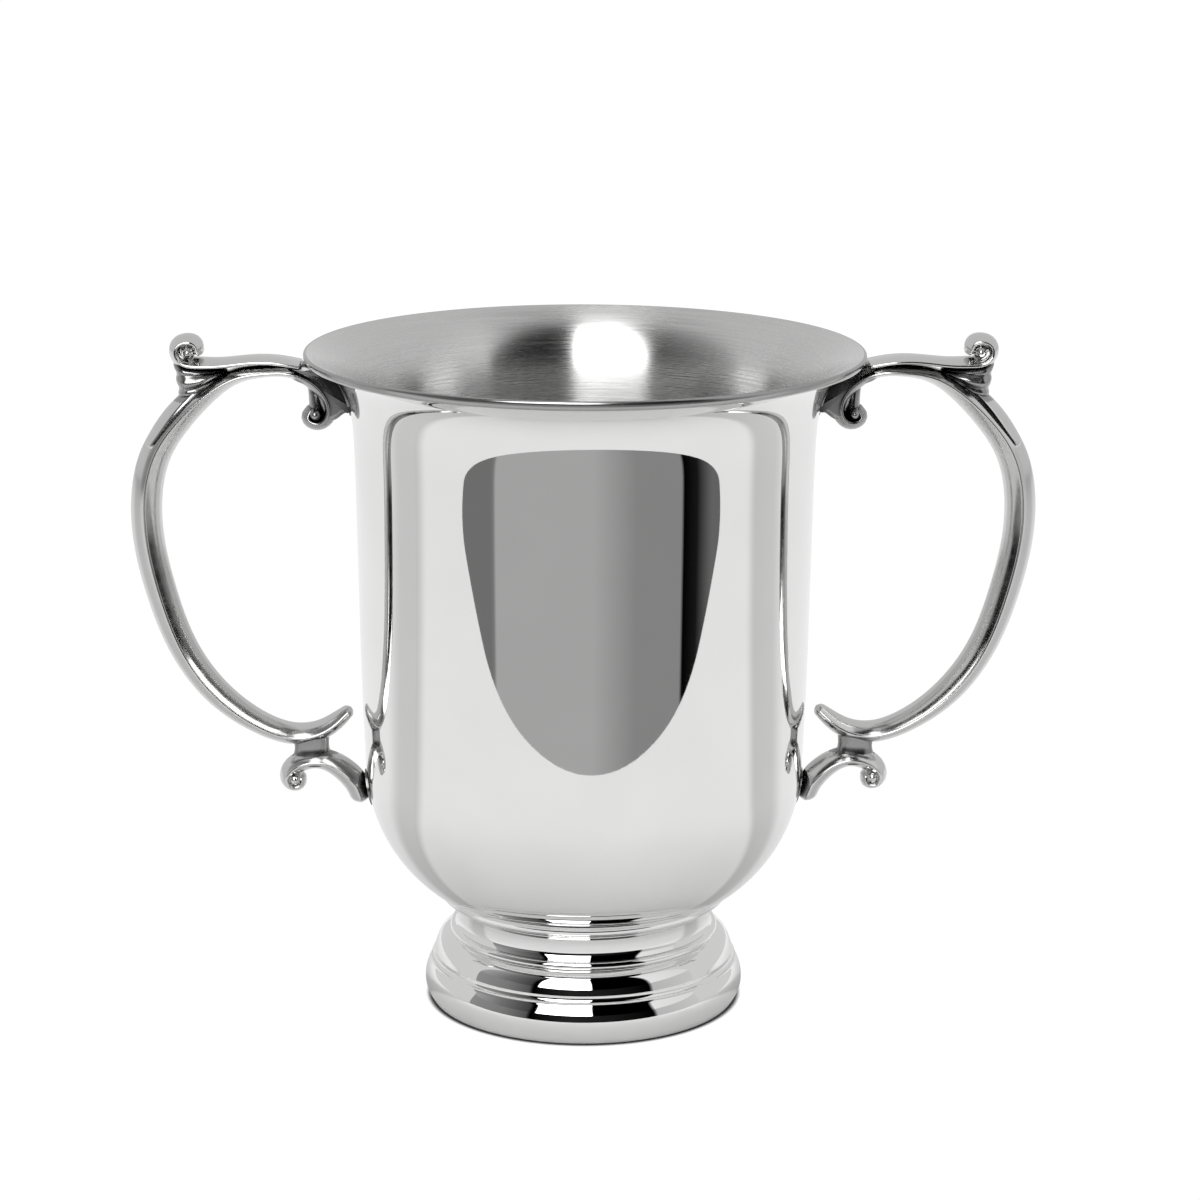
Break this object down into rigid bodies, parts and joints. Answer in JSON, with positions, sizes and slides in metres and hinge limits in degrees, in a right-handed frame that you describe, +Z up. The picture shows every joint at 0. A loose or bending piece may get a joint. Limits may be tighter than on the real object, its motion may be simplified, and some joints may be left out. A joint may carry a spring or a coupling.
{
  "type": "cup trophy",
  "caption": "Two-handled footed cup trophy in polished metal, with a flared mouth, an applied lip, a stepped round foot and scrolled handles.",
  "frame": {"origin": "centre of the resting plane under the foot", "axes": "+Z up, +X through the two handles, +Y square to them, away from the viewer"},
  "size_m": [0.2064, 0.127, 0.157],
  "materials": {
    "polished": "mirror polished, faint spin lines, satin inside",
    "lip": "brushed band",
    "handle": "polished casting, darker in its hollows",
    "solder": "dull soldered seam"
  },
  "bodies": {
    "root": {"base_band": "polished", "bowl": "polished", "foot_collar": "polished", "foot_shell": "polished", "foot_solder": "solder", "left_grip_scroll": "handle", "left_leaf_knuckle": "handle", "left_lower_bracket": "handle", "left_lower_seam": "solder", "left_thumb_scroll": "handle", "left_upper_lug": "handle", "left_upper_seam": "solder", "lip_wire": "lip", "right_grip_scroll": "handle", "right_leaf_knuckle": "handle", "right_lower_bracket": "handle", "right_lower_seam": "solder", "right_thumb_scroll": "handle", "right_upper_lug": "handle", "right_upper_seam": "solder"}
  },
  "joints": []
}
